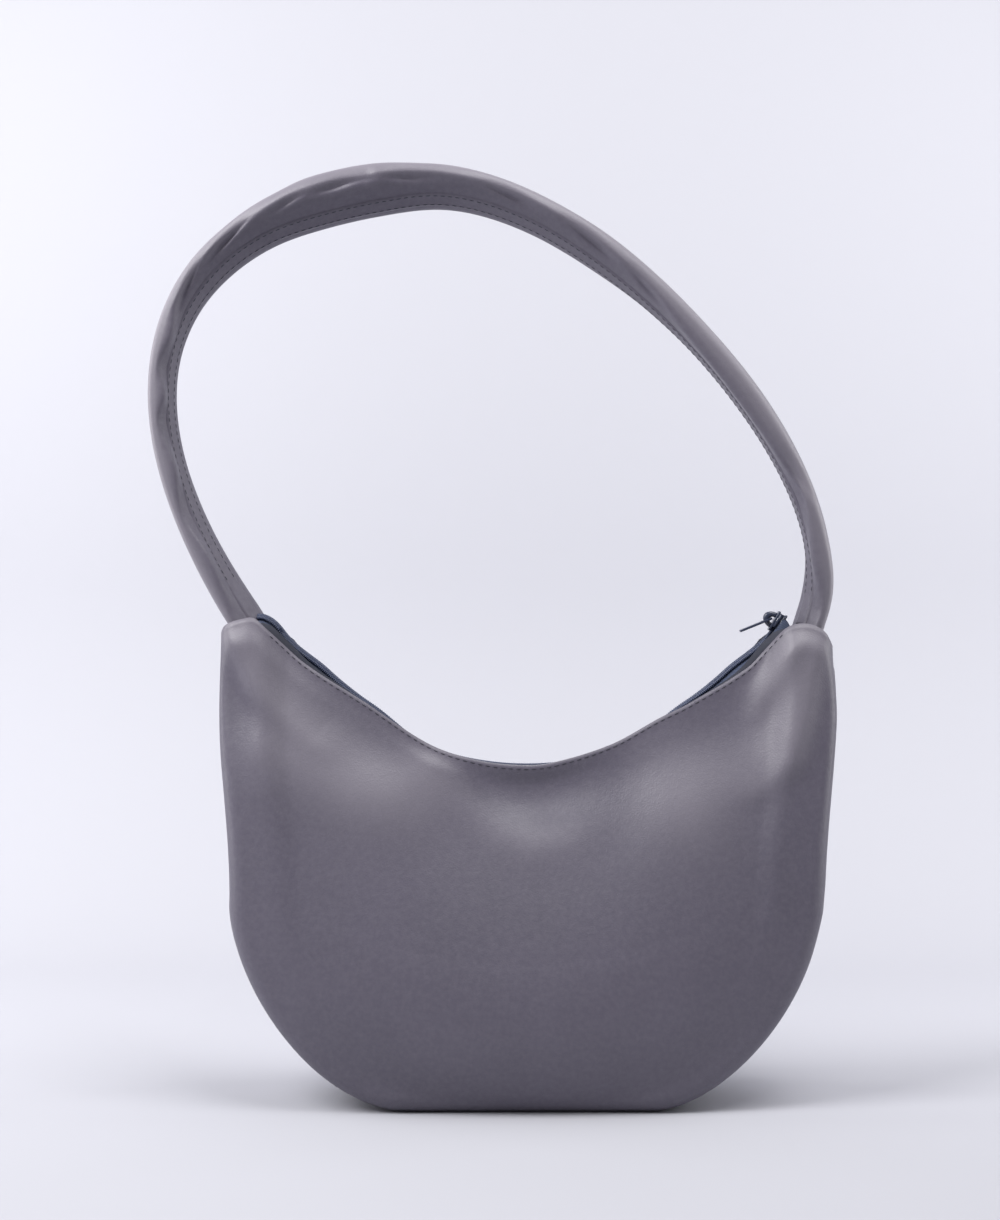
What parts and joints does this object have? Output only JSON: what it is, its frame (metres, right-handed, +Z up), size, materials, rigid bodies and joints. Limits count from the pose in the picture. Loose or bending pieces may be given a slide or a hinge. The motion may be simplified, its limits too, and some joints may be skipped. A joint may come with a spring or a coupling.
{
  "type": "hobo shoulder bag",
  "caption": "Soft crescent leather shoulder bag with a sagging zipped mouth, a sliding zip pull and one padded strap that arches up and swings over to either side.",
  "frame": {"origin": "centre of the flat base that the bag stands on", "axes": "+Z up, the front panel faces -Y, +X towards the end of the zip where it is closed; the strap leans towards -X"},
  "size_m": [0.4088, 0.1168, 0.5595],
  "materials": {
    "leather": "smooth satin, fine grain",
    "lining": "plain weave",
    "board": "matt",
    "zip_tape": "woven tape",
    "zip_coil": "dyed nylon",
    "zip_metal": "satin enamel",
    "foam": "felted filler"
  },
  "bodies": {
    "bag": {"front_panel": "leather", "back_panel": "leather", "gusset": "leather", "front_lining": "lining", "back_lining": "lining", "gusset_lining": "lining", "base_board": "board", "zip_tape_front": "zip_tape", "zip_tape_back": "zip_tape", "zip_coil_front": "zip_coil", "zip_coil_back": "zip_coil", "zip_top_stops": "zip_metal", "zip_bottom_stop": "zip_metal", "strap_end_left": "leather", "strap_end_right": "leather"},
    "strap": {"strap_band": "leather", "strap_facing": "leather", "strap_core": "foam"},
    "slider": {"slider_body": "zip_metal", "slider_bail": "zip_metal"},
    "pull": {"pull_tab": "zip_metal"}
  },
  "joints": [
    {"name": "strap_swing", "type": "hinge", "parent": "bag", "child": "strap", "pos_m": [0, 0, 0.312], "axis": [1, 0, 0], "range_deg": [-110, 110], "deforming": ["strap_end_left", "strap_end_right"]},
    {"name": "slider_travel", "type": "hinge", "parent": "bag", "child": "slider", "pos_m": [0, 0, 0.37367], "axis": [0, 1, 0], "range_deg": [0, 114.1], "deforming": ["zip_coil_front", "zip_coil_back"]},
    {"name": "pull_flip", "type": "hinge", "parent": "slider", "child": "pull", "pos_m": [0.14642, 0, 0.28676], "axis": [0, 1, 0], "range_deg": [-38, 110]}
  ]
}
